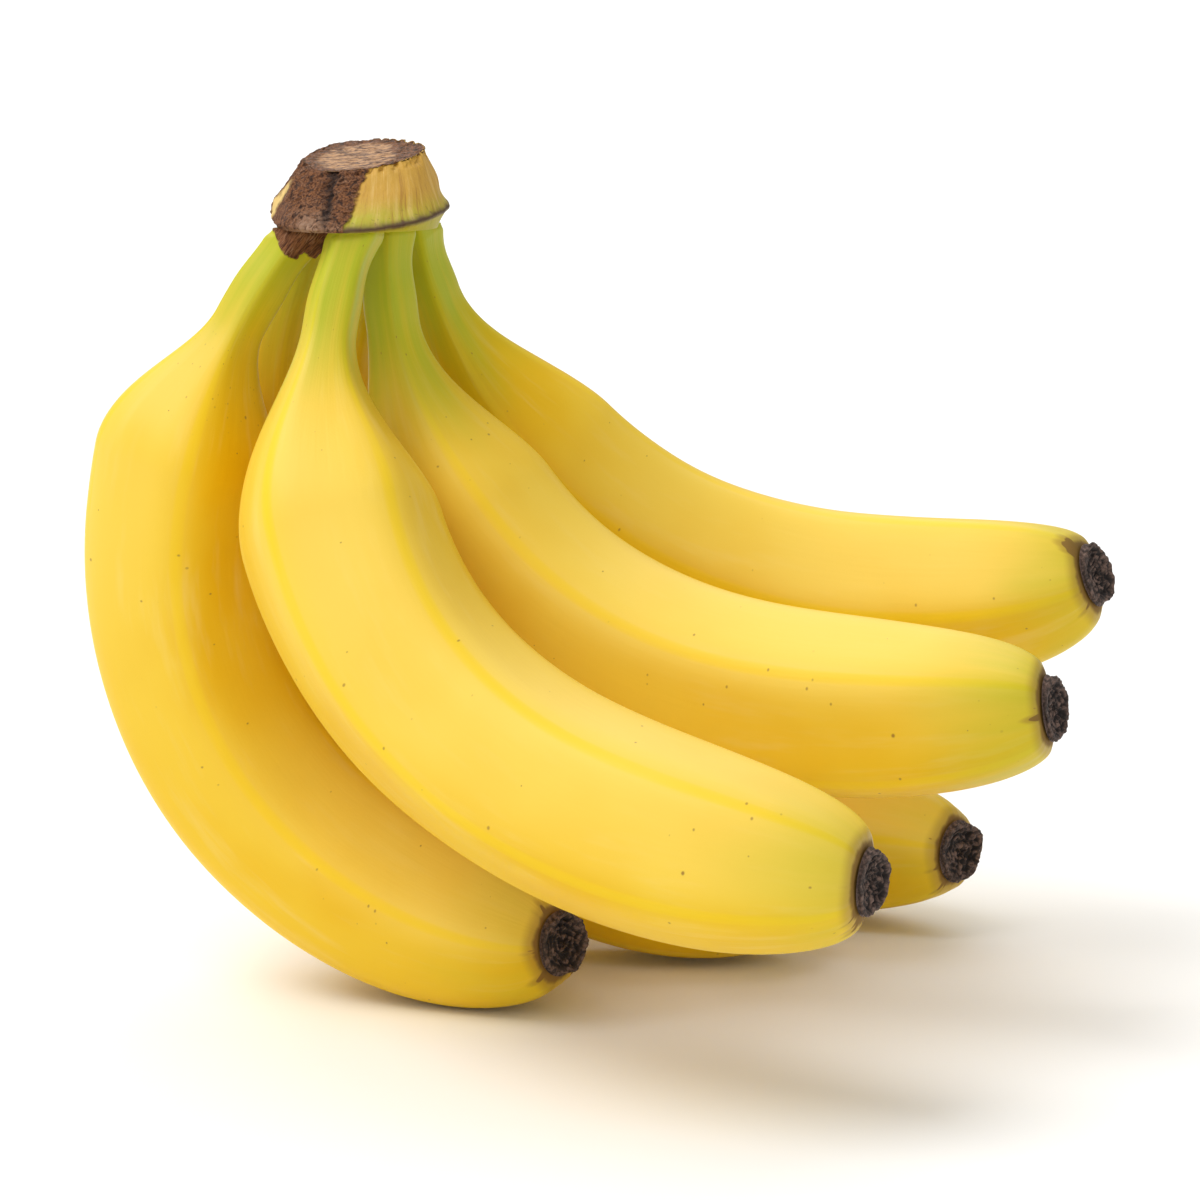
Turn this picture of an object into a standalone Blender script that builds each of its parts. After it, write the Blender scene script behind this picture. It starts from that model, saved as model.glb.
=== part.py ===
"""Bunch of six bananas on its cut crown, resting on the bellies of its lower fingers.

+Z is up, +X runs from the crown towards the tips, and -Y is the front of the bunch.
The origin is at the middle of the base of the bounding box.
"""
import math

import bmesh
import bpy
import numpy as np
from mathutils import Vector

MM = 0.001

# Each finger leaves the underside of the crown at its root (x, y, in mm). Its spine then bends and
# leans: bend is the angle below level in the X-Z plane, lean the angle towards the back, in degrees.
# Bends are given at four even steps from the neck to the tip, leans at three, and a smooth curve
# runs between them. The neck keeps its width for its own length, and the shoulder is the stretch
# over which it widens to the full radius. ridge is the angle of one corner of the five-sided
# section, from the front towards the inside of the bend, at the neck and at the tip.
FINGERS = {
    "banana_1": dict(root=(-60, 20), length=198, radius=18.4, neck=22, shoulder=30,
                     bend=(129, 95, 45, -8), lean=(-8, 0, -36), ridge=(0, 10)),
    "banana_2": dict(root=(-49, 11), length=198, radius=20, neck=20, shoulder=42,
                     bend=(111, 69, 22, 2), lean=(-20, -30, -20), ridge=(35, 50)),
    "banana_3": dict(root=(-43, 22), length=192, radius=18.5, neck=19, shoulder=44,
                     bend=(94, 52, 9, -9), lean=(5, -20, -15), ridge=(10, 40)),
    "banana_4": dict(root=(-38, 34), length=186, radius=18.5, neck=17, shoulder=46,
                     bend=(82, 47, 8, -20), lean=(28, -1, -20), ridge=(10, 0)),
    "banana_5": dict(root=(-46, 46), length=246, radius=18, neck=30, shoulder=40,
                     bend=(104, 81, 13, -3), lean=(20, 6, -36), ridge=(20, 20)),
    "banana_6": dict(root=(-57, 34), length=203, radius=15.5, neck=40, shoulder=55,
                     bend=(122, 70, 40, -8), lean=(2, 0, -6), ridge=(20, 20)),
}

NECK_RADIUS = 4.9        # of every neck, where it leaves the crown
ROOT_FLARE = 1.0         # how much wider the neck is at the crown
FLARE_LENGTH = 10.0      # stretch of the neck over which that extra width is lost
TAPER_SHARE = 0.30       # last part of the length, over which the finger narrows
TAPER_POWER = 2.4        # 2 would round the end off as an ellipse; more is blunter
TIP_RADIUS = 7.0         # of the flat end under the blossom remnant
CORNER_RISE = 0.044      # how far the corners of the section stand out, as a share of its radius
CORNER_CREASE = 0.004    # how much sharper the corners are than a plain wave

SIDES = 20               # faces round a finger
RINGS = 30               # rings along a finger
ROOT_OVERRUN = 12.0      # the spine runs on this far above the root, to be cut off flush
JOINT_GAP = 0.3          # between neck and crown, and between tip and blossom remnant

# The crown stands on the plane of the neck roots, which falls towards the back of the bunch.
SEAT_POINT = (-50, 28, 153.3)
SEAT_SLOPE = -0.10       # rise per unit towards the back
# Rings of the crown: centre x, centre y, half width, half depth, height of the centre
CROWN_RINGS = (
    (-49.0, 28.0, 15.5, 21.5, 147.5),
    (-49.0, 28.0, 17.0, 23.0, 154.5),
    (-49.0, 28.0, 18.0, 24.0, 157.5),
    (-48.5, 28.0, 16.5, 20.5, 160.0),
    (-48.0, 29.0, 15.0, 17.0, 163.0),
    (-47.5, 30.0, 13.0, 13.0, 166.5),
    (-47.0, 30.5, 11.0, 9.0, 170.0),
)
RING_SLOPE = 0.05        # rise of each ring per unit towards the back
CROWN_LUMPS = ((3, 0.02, 0.0, 0.6), (7, 0.012, 1.0, 0.0))  # count, rise, twist per mm up, start
CROWN_SIDES = 32
TOP_CUT = (-47, 30.5, 168)          # a point of the flat cut across the top
TOP_CUT_FACING = (-0.09, -0.12, 1.0)
SIDE_CUT = (-65, 23, 158)     # a point of the small knife cut on the left
SIDE_CUT_FACING = (-1.0, -0.25, 0.55)

REMNANT_LENGTH = 2.8     # of the dried blossom remnant on each tip
REMNANT_RADIUS = 6.7     # at its foot
REMNANT_WAIST = 6.2      # a little below half way
REMNANT_WAIST_SHARE = 0.45
REMNANT_RIM = 6.1        # at its rim
REMNANT_LIP = 1.3        # width of the rim
REMNANT_HOLLOW = 3.05    # radius of the bottom of the hollow in its end
REMNANT_DISH = 1.1       # depth of that hollow
REMNANT_WRINKLE = 0.03   # how far its five folds stand out, as a share of the radius
REMNANT_SIDES = 16

SPINE_STEPS = 400        # steps of the sum that gives the spine its points
MERGE_DISTANCE = 1e-6    # metres
SKIN_CREASE = 40.0       # degrees: sharper edges stay hard in the shading
CUT_CREASE = 30.0        # the same for the crown, whose cuts are shallow
PEEL = (0.80, 0.60, 0.05)
PEEL_GREEN = (0.62, 0.62, 0.07)
BARK = (0.13, 0.06, 0.03)
REMNANT = (0.035, 0.022, 0.016)
PEEL_ROUGHNESS = 0.45
DRY_ROUGHNESS = 0.8
GREEN_FINGERS = ("banana_3", "banana_4")    # the least ripe ones


def clearScene():
    for item in list(bpy.data.objects):
        bpy.data.objects.remove(item, do_unlink=True)


def makeMaterial(name, colour, roughness):
    material = bpy.data.materials.new(name)
    material.use_nodes = True
    shader = material.node_tree.nodes["Principled BSDF"]
    shader.inputs["Base Color"].default_value = (*colour, 1.0)
    shader.inputs["Roughness"].default_value = roughness
    shader.inputs["Metallic"].default_value = 0.0
    return material


def naturalCurve(values, t):
    """Natural cubic curve through evenly spaced values, read at t from 0 to 1."""
    y = np.array(values, float)
    n = len(y) - 1
    system = np.eye(n + 1)
    right = np.zeros(n + 1)
    for i in range(1, n):
        system[i, i - 1:i + 2] = (1.0, 4.0, 1.0)
        right[i] = 6.0 * (y[i - 1] - 2.0 * y[i] + y[i + 1])
    second = np.linalg.solve(system, right)
    u = np.clip(np.asarray(t, float), 0.0, 1.0) * n
    i = np.minimum(u.astype(int), n - 1)
    b = u - i
    a = 1.0 - b
    curve = a * y[i] + b * y[i + 1]
    return curve + ((a**3 - a) * second[i] + (b**3 - b) * second[i + 1]) / 6.0


def direction(finger, t):
    """Unit direction of the spine at shares t of its length."""
    bend = np.radians(naturalCurve(finger["bend"], t))
    lean = np.radians(naturalCurve(finger["lean"], t))
    return np.stack([np.cos(bend) * np.cos(lean), np.sin(lean), -np.sin(bend) * np.cos(lean)], axis=-1)


def rootPoint(finger):
    """Where the spine meets the plane under the crown, in mm."""
    x, y = finger["root"]
    return np.array([x, y, SEAT_POINT[2] + SEAT_SLOPE * (y - SEAT_POINT[1])])


def spine(finger, lengths):
    """Points of the spine at the given lengths from the root, in mm, and its directions there."""
    middles = (np.arange(SPINE_STEPS) + 0.5) / SPINE_STEPS
    walk = np.cumsum(direction(finger, middles), axis=0) * finger["length"] / SPINE_STEPS
    walk = np.vstack([np.zeros(3), walk]) + rootPoint(finger)
    along = np.linspace(0.0, finger["length"], SPINE_STEPS + 1)
    points = np.stack([np.interp(lengths, along, walk[:, k]) for k in range(3)], axis=-1)
    before = np.minimum(lengths, 0.0)
    start = direction(finger, np.zeros(1))[0]
    return points + before[:, None] * start, direction(finger, lengths / finger["length"])


def girth(finger, lengths):
    """Mean radius of the finger at the given lengths from the root."""
    length = finger["length"]
    full = finger["radius"]
    rise = np.clip((lengths - finger["neck"]) / finger["shoulder"], 0.0, 1.0)
    rise = rise * rise * (3.0 - 2.0 * rise)
    body = NECK_RADIUS + (full - NECK_RADIUS) * rise
    fall = np.clip((length - lengths) / (TAPER_SHARE * length), 0.0, 1.0)
    fall = np.sqrt(1.0 - (1.0 - fall) ** TAPER_POWER)
    taper = TIP_RADIUS + (full - TIP_RADIUS) * fall
    flare = ROOT_FLARE * np.clip(1.0 - lengths / FLARE_LENGTH, 0.0, 1.0) ** 2
    return np.minimum(body, taper) + flare


def sectionFrame(tangent):
    """Two directions across the spine: towards the front, and towards the inside of the bend."""
    front = np.array([0.0, -1.0, 0.0]) + tangent * tangent[1]
    front /= np.linalg.norm(front)
    inside = np.cross(front, tangent)
    return front, inside


def cornerShape(angle):
    """Radius of the five-sided section round one of its corners, as a share of the mean radius."""
    return 1.0 + CORNER_RISE * np.cos(5.0 * angle) + CORNER_CREASE * np.cos(10.0 * angle)


def fillLoop(mesh):
    """Closes every open loop of edges with one face."""
    open_edges = [edge for edge in mesh.edges if edge.is_boundary]
    bmesh.ops.holes_fill(mesh, edges=open_edges, sides=0)


def addRings(mesh, rings):
    """Joins closed rings of points, all with the same count, into a skin of quads."""
    rows = []
    for ring in rings:
        rows.append([mesh.verts.new(Vector(point) * MM) for point in ring])
    count = len(rows[0])
    for lower, upper in zip(rows, rows[1:]):
        for k in range(count):
            after = (k + 1) % count
            mesh.faces.new((lower[k], lower[after], upper[after], upper[k]))
    return rows


def finish(mesh, name, material, crease):
    """Turns the mesh into a named object, with edges sharper than crease (degrees) left hard."""
    bmesh.ops.remove_doubles(mesh, verts=mesh.verts, dist=MERGE_DISTANCE)
    bmesh.ops.recalc_face_normals(mesh, faces=mesh.faces)
    data = bpy.data.meshes.new(name)
    mesh.to_mesh(data)
    mesh.free()
    data.materials.append(material)
    data.shade_smooth()
    data.set_sharp_from_angle(angle=math.radians(crease))
    item = bpy.data.objects.new(name, data)
    bpy.context.scene.collection.objects.link(item)
    return item


def seatNormal():
    return Vector((0.0, -SEAT_SLOPE, 1.0)).normalized()


def makeBanana(name, finger, material):
    """A swept five-sided tube, cut off flush under the crown and flat at its tip."""
    lengths = np.linspace(-ROOT_OVERRUN, finger["length"], RINGS)
    points, tangents = spine(finger, lengths)
    radii = girth(finger, lengths)
    share = np.clip(lengths / finger["length"], 0.0, 1.0)
    corner = np.radians(finger["ridge"][0] + (finger["ridge"][1] - finger["ridge"][0]) * share)
    rings = []
    for point, tangent, radius, turn in zip(points, tangents, radii, corner):
        front, inside = sectionFrame(tangent)
        ring = []
        for k in range(SIDES):
            angle = 2.0 * math.pi * k / SIDES
            reach = radius * cornerShape(angle)
            offset = math.cos(angle + turn) * front + math.sin(angle + turn) * inside
            ring.append(point + reach * offset)
        rings.append(ring)
    mesh = bmesh.new()
    rows = addRings(mesh, rings)
    mesh.faces.new(rows[-1])
    normal = seatNormal()
    below = Vector(SEAT_POINT) * MM - normal * JOINT_GAP * MM
    everything = list(mesh.verts) + list(mesh.edges) + list(mesh.faces)
    bmesh.ops.bisect_plane(mesh, geom=everything, plane_co=below, plane_no=normal, clear_outer=True)
    fillLoop(mesh)
    return finish(mesh, name, material, SKIN_CREASE)


def makeRemnant(name, finger, material):
    """The dried rest of the flower: a short stub with a hollow end, on the tip of its finger."""
    points, tangents = spine(finger, np.array([finger["length"]]))
    point, tangent = points[0], tangents[0]
    front, inside = sectionFrame(tangent)
    steps = (
        (0.0, REMNANT_RADIUS),
        (REMNANT_WAIST_SHARE * REMNANT_LENGTH, REMNANT_WAIST),
        (REMNANT_LENGTH, REMNANT_RIM),
        (REMNANT_LENGTH, REMNANT_RIM - REMNANT_LIP),
        (REMNANT_LENGTH - REMNANT_DISH, REMNANT_HOLLOW),
    )
    rings = []
    for height, radius in steps:
        centre = point + tangent * (JOINT_GAP + height)
        ring = []
        for k in range(REMNANT_SIDES):
            angle = 2.0 * math.pi * k / REMNANT_SIDES
            wrinkle = 1.0 + REMNANT_WRINKLE * math.cos(5.0 * angle)
            ring.append(centre + radius * wrinkle * (math.cos(angle) * front + math.sin(angle) * inside))
        rings.append(ring)
    mesh = bmesh.new()
    rows = addRings(mesh, rings)
    mesh.faces.new(rows[0])
    mesh.faces.new(rows[-1])
    return finish(mesh, name, material, SKIN_CREASE)


def makeCrown(material):
    """The lump of stalk that holds the necks, trimmed by flat knife cuts."""
    rings = []
    for x, y, half_width, half_depth, height in CROWN_RINGS:
        ring = []
        for k in range(CROWN_SIDES):
            angle = 2.0 * math.pi * k / CROWN_SIDES
            lump = 1.0
            for count, rise, twist, start in CROWN_LUMPS:
                lump += rise * math.cos(count * angle + twist * height + start)
            px = x + half_width * lump * math.cos(angle)
            py = y + half_depth * lump * math.sin(angle)
            ring.append((px, py, height + RING_SLOPE * (py - y)))
        rings.append(ring)
    mesh = bmesh.new()
    rows = addRings(mesh, rings)
    mesh.faces.new(rows[0])
    mesh.faces.new(rows[-1])
    cuts = (
        (SEAT_POINT, -seatNormal()),
        (TOP_CUT, Vector(TOP_CUT_FACING).normalized()),
        (SIDE_CUT, Vector(SIDE_CUT_FACING).normalized()),
    )
    for point, normal in cuts:
        everything = list(mesh.verts) + list(mesh.edges) + list(mesh.faces)
        bmesh.ops.bisect_plane(mesh, geom=everything, plane_co=Vector(point) * MM, plane_no=normal,
                               clear_outer=True)
        fillLoop(mesh)
    return finish(mesh, "crown", material, CUT_CREASE)


def centreOnBase(items):
    """Moves every mesh so that the origin is at the middle of the base of the bounding box."""
    corners = np.vstack([[vertex.co for vertex in item.data.vertices] for item in items])
    low = corners.min(axis=0)
    high = corners.max(axis=0)
    shift = Vector((-(low[0] + high[0]) / 2.0, -(low[1] + high[1]) / 2.0, -low[2]))
    for item in items:
        for vertex in item.data.vertices:
            vertex.co += shift


def main():
    clearScene()
    items = [makeCrown(makeMaterial("crown_bark", BARK, DRY_ROUGHNESS))]
    for number, (name, finger) in enumerate(FINGERS.items(), start=1):
        colour = PEEL_GREEN if name in GREEN_FINGERS else PEEL
        peel = makeMaterial(f"peel_{number}", colour, PEEL_ROUGHNESS)
        items.append(makeBanana(name, finger, peel))
        dry = makeMaterial(f"blossom_{number}", REMNANT, DRY_ROUGHNESS)
        items.append(makeRemnant(f"blossom_end_{number}", finger, dry))
    centreOnBase(items)


main()
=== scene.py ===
import math

import bpy
import numpy as np
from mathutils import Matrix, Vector, noise


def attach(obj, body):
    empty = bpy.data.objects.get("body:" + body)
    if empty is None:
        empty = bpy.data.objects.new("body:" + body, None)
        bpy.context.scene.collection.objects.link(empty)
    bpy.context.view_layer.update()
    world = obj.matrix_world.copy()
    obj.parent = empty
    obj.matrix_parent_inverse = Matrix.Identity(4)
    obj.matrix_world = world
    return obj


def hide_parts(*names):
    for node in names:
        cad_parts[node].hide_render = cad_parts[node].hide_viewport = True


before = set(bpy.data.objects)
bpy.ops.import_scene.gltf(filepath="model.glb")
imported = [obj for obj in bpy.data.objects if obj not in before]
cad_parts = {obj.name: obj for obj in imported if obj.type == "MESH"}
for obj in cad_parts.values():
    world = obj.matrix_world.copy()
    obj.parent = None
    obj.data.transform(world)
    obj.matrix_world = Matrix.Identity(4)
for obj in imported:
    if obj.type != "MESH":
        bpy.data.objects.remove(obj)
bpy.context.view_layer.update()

# sizes and places are in mm unless a note says otherwise
mm = 0.001
settle = np.array([-0.69, -5.00, 1.13])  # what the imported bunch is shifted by, to stand centred on its base
fullTurn = 2.0 * math.pi


class Signal:
    # one socket of a material, so that shader maths reads as ordinary sums
    def __init__(self, finish, socket):
        self.finish = finish
        self.socket = socket

    def maths(self, operation, *values):
        return self.finish.node("Math", {"operation": operation}, dict(enumerate(values)))

    def __add__(self, other):
        return self.maths("ADD", self, other)

    __radd__ = __add__

    def __sub__(self, other):
        return self.maths("SUBTRACT", self, other)

    def __rsub__(self, other):
        return self.maths("SUBTRACT", other, self)

    def __mul__(self, other):
        return self.maths("MULTIPLY", self, other)

    __rmul__ = __mul__

    def __truediv__(self, other):
        return self.maths("DIVIDE", self, other)

    def __rtruediv__(self, other):
        return self.maths("DIVIDE", other, self)

    def least(self, other):
        return self.maths("MINIMUM", self, other)

    def between(self, low, high):
        # 0 below low and 1 above high, eased; low may be the larger one
        span = {"From Min": low, "From Max": high, "To Min": 0.0, "To Max": 1.0}
        if low > high:
            span = {"From Min": high, "From Max": low, "To Min": 1.0, "To Max": 0.0}
        return self.finish.node("MapRange", {"interpolation_type": "SMOOTHSTEP"}, {"Value": self, **span})

    def beside(self, output):
        # another output of the node that this socket belongs to
        return Signal(self.finish, self.socket.node.outputs[output])


class Finish:
    # one material and the nodes in it
    def __init__(self, name):
        self.material = bpy.data.materials.new(name)
        self.material.use_nodes = True
        self.tree = self.material.node_tree
        self.tree.nodes.clear()

    def node(self, kind, settings=None, sockets=None, output=0):
        # settings come first, then the values or links of the sockets
        made = self.tree.nodes.new("ShaderNode" + kind)
        for key, value in (settings or {}).items():
            setattr(made, key, value)
        for key, value in (sockets or {}).items():
            if isinstance(value, Signal):
                self.tree.links.new(value.socket, made.inputs[key])
            elif value is not None:
                made.inputs[key].default_value = value
        return Signal(self, made.outputs[output]) if len(made.outputs) else None

    def attribute(self, name, output="Fac"):
        # a mark that the mesh carries
        return self.node("Attribute", {"attribute_name": name}, output=output)

    def stretched(self, vector, stretch=(1.0, 1.0, 1.0), shift=(0.0, 0.0, 0.0)):
        # where a texture is read: a small stretch draws the texture out along that axis
        scaled = self.node("VectorMath", {"operation": "MULTIPLY"}, {0: vector, 1: stretch})
        return self.node("VectorMath", {"operation": "ADD"}, {0: scaled, 1: shift})

    def cloud(self, vector, scale, detail=2.0, roughness=0.5):
        return self.node("TexNoise", None, {"Vector": vector, "Scale": scale, "Detail": detail,
                                            "Roughness": roughness})

    def mix(self, share, first, second):
        first, second = (value if isinstance(value, Signal) else (*value, 1.0) for value in (first, second))
        return self.node("Mix", {"data_type": "RGBA"}, {"Factor": share, 6: first, 7: second}, output=2)

    def specks(self, vector, scale, size, kept, seed, narrowest=0.4, variety=0.8, core=0.35, sharp=0.02):
        # round dots in a share of the cells of a Voronoi pattern, 1 on a dot
        where = self.stretched(vector, shift=(seed, seed * 0.7, -seed))
        distance = self.node("TexVoronoi", {"feature": "F1"},
                             {"Vector": where, "Scale": scale, "Randomness": 1.0}, output="Distance")
        chance = self.node("SeparateColor", None, {"Color": distance.beside("Color")}, output="Red")
        width = chance.beside("Green") * variety + narrowest
        dot = (distance / width).between(size, size * core)
        return dot * chance.between(1.0 - kept, 1.0 - kept + sharp)

    def bump(self, height, distance, strength, normal=None):
        return self.node("Bump", None, {"Height": height, "Distance": distance, "Strength": strength,
                                        "Normal": normal})

    def shader(self, colour, roughness, shine, normal=None):
        surface = self.node("BsdfPrincipled", None, {"Base Color": colour, "Roughness": roughness,
                                                     "Specular IOR Level": shine, "Normal": normal})
        self.node("OutputMaterial", None, {"Surface": surface})
        return self.material


def smooth(low, high, value):
    # 0 at low and 1 at high, eased; low may be the larger one
    t = np.clip((value - low) / (high - low), 0.0, 1.0)
    return t * t * (3.0 - 2.0 * t)


def bell(value, width):
    # 1 at zero, falling away on both sides
    return np.exp(-(value / width) ** 2)


def unit(vector):
    return np.array(vector) / np.linalg.norm(vector)


def lumps(points, stretch, seed):
    # smooth noise from about -1 to 1 at each point; a large stretch makes it fine along that axis
    places = np.asarray(points, float).reshape(-1, 3) * np.array(stretch, float) + seed
    return np.array([noise.noise(Vector(place)) for place in places]).reshape(np.shape(points)[:-1])


def naturalCurve(values, t):
    # the smooth curve through evenly spaced values, read at t from 0 to 1
    y = np.array(values, float)
    last = len(y) - 1
    system = np.eye(last + 1)
    right = np.zeros(y.shape)
    for i in range(1, last):
        system[i, i - 1:i + 2] = (1.0, 4.0, 1.0)
        right[i] = 6.0 * (y[i - 1] - 2.0 * y[i] + y[i + 1])
    bending = np.linalg.solve(system, right.reshape(last + 1, -1)).reshape(y.shape)
    at = np.clip(np.asarray(t, float), 0.0, 1.0) * last
    i = np.minimum(at.astype(int), last - 1)
    b = (at - i).reshape(i.shape + (1,) * (y.ndim - 1))
    a = 1.0 - b
    return a * y[i] + b * y[i + 1] + ((a**3 - a) * bending[i] + (b**3 - b) * bending[i + 1]) / 6.0


def skinGrid(name, rings, marks, finish):
    # rings: rows x columns x 3, closed round the columns and capped at both ends
    # marks: what the finishes read at each point of them
    rows, columns = rings.shape[:2]
    middles = np.stack([rings[0].mean(0), rings[-1].mean(0)])
    points = (np.vstack([rings.reshape(-1, 3), middles]) + settle) * mm
    here = np.arange(columns)
    after = (here + 1) % columns
    low = np.arange(rows - 1)[:, None] * columns
    high = low + columns
    quads = np.stack([low + here, low + after, high + after, high + here], axis=-1).reshape(-1, 4)
    firstMiddle, lastMiddle = rows * columns, rows * columns + 1
    lastRing = (rows - 1) * columns
    pairs = list(zip(here.tolist(), after.tolist()))
    fans = [(firstMiddle, b, a) for a, b in pairs]
    fans += [(lastMiddle, lastRing + a, lastRing + b) for a, b in pairs]
    mesh = bpy.data.meshes.new(name)
    mesh.from_pydata(points.tolist(), [], quads.tolist() + fans)
    mesh.validate()
    for mark, values in marks.items():
        flat = np.asarray(values, float).reshape(rows * columns, -1)
        flat = np.vstack([flat, flat[:columns].mean(0), flat[-columns:].mean(0)])
        kind, field = ("FLOAT_VECTOR", "vector") if flat.shape[1] == 3 else ("FLOAT", "value")
        layer = mesh.attributes.new(mark, kind, "POINT")
        layer.data.foreach_set(field, flat.ravel())
    mesh.shade_smooth()
    mesh.materials.append(finish)
    piece = bpy.data.objects.new(name, mesh)
    bpy.context.scene.collection.objects.link(piece)
    return piece


def standFor(piece, node):
    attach(piece, "root")
    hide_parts(node)


# each finger leaves the crown at its root (x, y); bend is the angle below level and lean the angle
# towards the back, in degrees; ridge turns its corners, from root to tip
fingers = {
    "banana_1": dict(root=(-60, 20), length=198, radius=18.4, neck=22, shoulder=30,
                     bend=(129, 95, 45, -8), lean=(-8, 0, -36), ridge=(0, 10),
                     green=0.8, greenTo=40, tipGreen=0.25, speckled=1.0, tornTo=5.2, seed=3.1, slot="peel"),
    "banana_2": dict(root=(-49, 11), length=198, radius=20, neck=20, shoulder=42,
                     bend=(111, 69, 22, 2), lean=(-20, -30, -20), ridge=(35, 50),
                     green=0.85, greenTo=46, tipGreen=0.35, speckled=0.3, seed=17.4, slot="peel"),
    "banana_3": dict(root=(-43, 22), length=192, radius=18.5, neck=19, shoulder=44,
                     bend=(94, 52, 9, -9), lean=(5, -20, -15), ridge=(10, 40),
                     green=1.0, greenTo=56, tipGreen=0.6, speckled=0.2, seed=29.8, slot="peel_green"),
    "banana_4": dict(root=(-38, 34), length=186, radius=18.5, neck=17, shoulder=46,
                     bend=(82, 47, 8, -20), lean=(28, -1, -20), ridge=(10, 0),
                     green=1.0, greenTo=50, tipGreen=0.45, speckled=0.2, seed=41.2, slot="peel_green"),
    "banana_5": dict(root=(-46, 46), length=246, radius=18, neck=30, shoulder=40,
                     bend=(104, 81, 13, -3), lean=(20, 6, -36), ridge=(20, 20),
                     green=0.8, greenTo=52, tipGreen=0.3, speckled=0.2, seed=55.5, slot="peel"),
    "banana_6": dict(root=(-57, 34), length=203, radius=15.5, neck=40, shoulder=55,
                     bend=(122, 70, 40, -8), lean=(2, 0, -6), ridge=(20, 20),
                     green=0.75, greenTo=44, tipGreen=0.3, speckled=0.2, seed=68.9, slot="peel"),
}
# the underside of the crown, where the necks start
seat = dict(point=(-50, 28, 153.3), slope=-0.10)
seatPoint = np.array(seat["point"])
seatNormal = unit((0.0, -seat["slope"], 1.0))
# what all fingers share; a pair of lengths says where something starts and where it is full
skin = dict(
    columns=120, rows=300, crowding=0.09,  # rings lie closer together on the neck and at the tip
    inset=0.36, spineSteps=400,  # the skin lies inside the CAD finger by its inset
    unrolled=14.0,  # radius at which the skin is laid out straight
    neckRadius=4.9, rootFlare=1.0, flareLength=10.0,
    tipRadius=7.0, taperShare=0.30, taperPower=2.4,
    corners=5, cornerRise=0.044, cornerCrease=0.004,  # rise and crease are shares of the radius
    neckRise=0.35, neckCrease=1.2, neckShare=0.8,  # how much sharper the corners are on the neck
    startSearch=(-14.0, 16.0, 121),  # from, to and steps, looking for the underside of the crown
    sinkIntoCrown=0.5, drawnIn=0.6, drawnInTo=(2.2, 0.0),
    neckFull=0.75, fullFrom=(4.0, 16.0), fullTo=(62.0, 38.0),
    swelling=0.22, swellingGrain=(0.035, 0.06, 0.06), swellFromRoot=(4.0, 40.0), swellFromTip=(4.0, 30.0),
    pucker=0.16, puckerGrain=(0.08, 0.42, 0.42), puckerTo=(9.0, 0.5), puckerSeed=9.0,
    rollIn=0.9, rollInTo=(1.3, 0.0),
    # painted highlight: facets that face up, to the left and a little forward are painted paler, as where
    # light falls on them; flatFacets keeps it even over each facet
    paintedLitSide=(-0.38, -0.22, 0.90), paintedLitRange=(-0.05, 0.80), flatFacets=0.16,
    seedShift=40.0,  # each finger reads its own stretch of the patterns
    wanderGrain=(0.05, 0.11, 0.11), wanderSeed=30.0,  # the green ends unevenly
    greenFull=6.0, greenWander=9.0, tipGreenTo=(26.0, 2.0), tipGreenWander=8.0,
    specksAt=10.0, specksReach=(14.0, 3.0))  # measured from where the neck ends


def rootPoint(finger):
    x, y = finger["root"]
    return np.array([x, y, seatPoint[2] + seat["slope"] * (y - seatPoint[1])])


def direction(finger, t):
    bend = np.radians(naturalCurve(finger["bend"], t))
    lean = np.radians(naturalCurve(finger["lean"], t))
    return np.stack([np.cos(bend) * np.cos(lean), np.sin(lean), -np.sin(bend) * np.cos(lean)], axis=-1)


def spine(finger, lengths):
    steps = skin["spineSteps"]
    middles = (np.arange(steps) + 0.5) / steps
    walk = np.cumsum(direction(finger, middles), axis=0) * finger["length"] / steps
    walk = np.vstack([np.zeros(3), walk]) + rootPoint(finger)
    along = np.linspace(0.0, finger["length"], steps + 1)
    points = np.stack([np.interp(lengths, along, walk[:, axis]) for axis in range(3)], axis=-1)
    # straight on above the root
    start = direction(finger, np.zeros(1))[0]
    points = points + np.minimum(lengths, 0.0)[..., None] * start
    return points, direction(finger, lengths / finger["length"])


def girth(finger, lengths):
    full, length, narrow, tip = finger["radius"], finger["length"], skin["neckRadius"], skin["tipRadius"]
    body = narrow + (full - narrow) * smooth(finger["neck"], finger["neck"] + finger["shoulder"], lengths)
    fall = np.clip((length - lengths) / (skin["taperShare"] * length), 0.0, 1.0)
    taper = tip + (full - tip) * np.sqrt(1.0 - (1.0 - fall) ** skin["taperPower"])
    flare = skin["rootFlare"] * np.clip(1.0 - lengths / skin["flareLength"], 0.0, 1.0) ** 2
    return np.minimum(body, taper) + flare


def acrossSpine(tangents):
    front = np.array([0.0, -1.0, 0.0]) + tangents * tangents[..., 1:2]
    front /= np.linalg.norm(front, axis=-1, keepdims=True)
    return front, np.cross(front, tangents)


def fingerSurface(finger, lengths, angles):
    # spine points, outward directions and radii, at lengths from the root and angles from a corner
    points, tangents = spine(finger, lengths)
    share = np.clip(lengths / finger["length"], 0.0, 1.0)
    turn = np.radians(finger["ridge"][0] + (finger["ridge"][1] - finger["ridge"][0]) * share)
    front, inside = acrossSpine(tangents)
    # the corners are sharper on the neck
    nearNeck = smooth(finger["neck"] + skin["neckShare"] * finger["shoulder"], 0.0, lengths)
    rise = skin["cornerRise"] * (1.0 + skin["neckRise"] * nearNeck)
    crease = skin["cornerCrease"] * (1.0 + skin["neckCrease"] * nearNeck)
    corners = skin["corners"] * angles
    radii = girth(finger, lengths) * (1.0 + rise * np.cos(corners) + crease * np.cos(2.0 * corners))
    across = np.cos(angles + turn)[..., None] * front + np.sin(angles + turn)[..., None] * inside
    return points, across, radii


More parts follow.
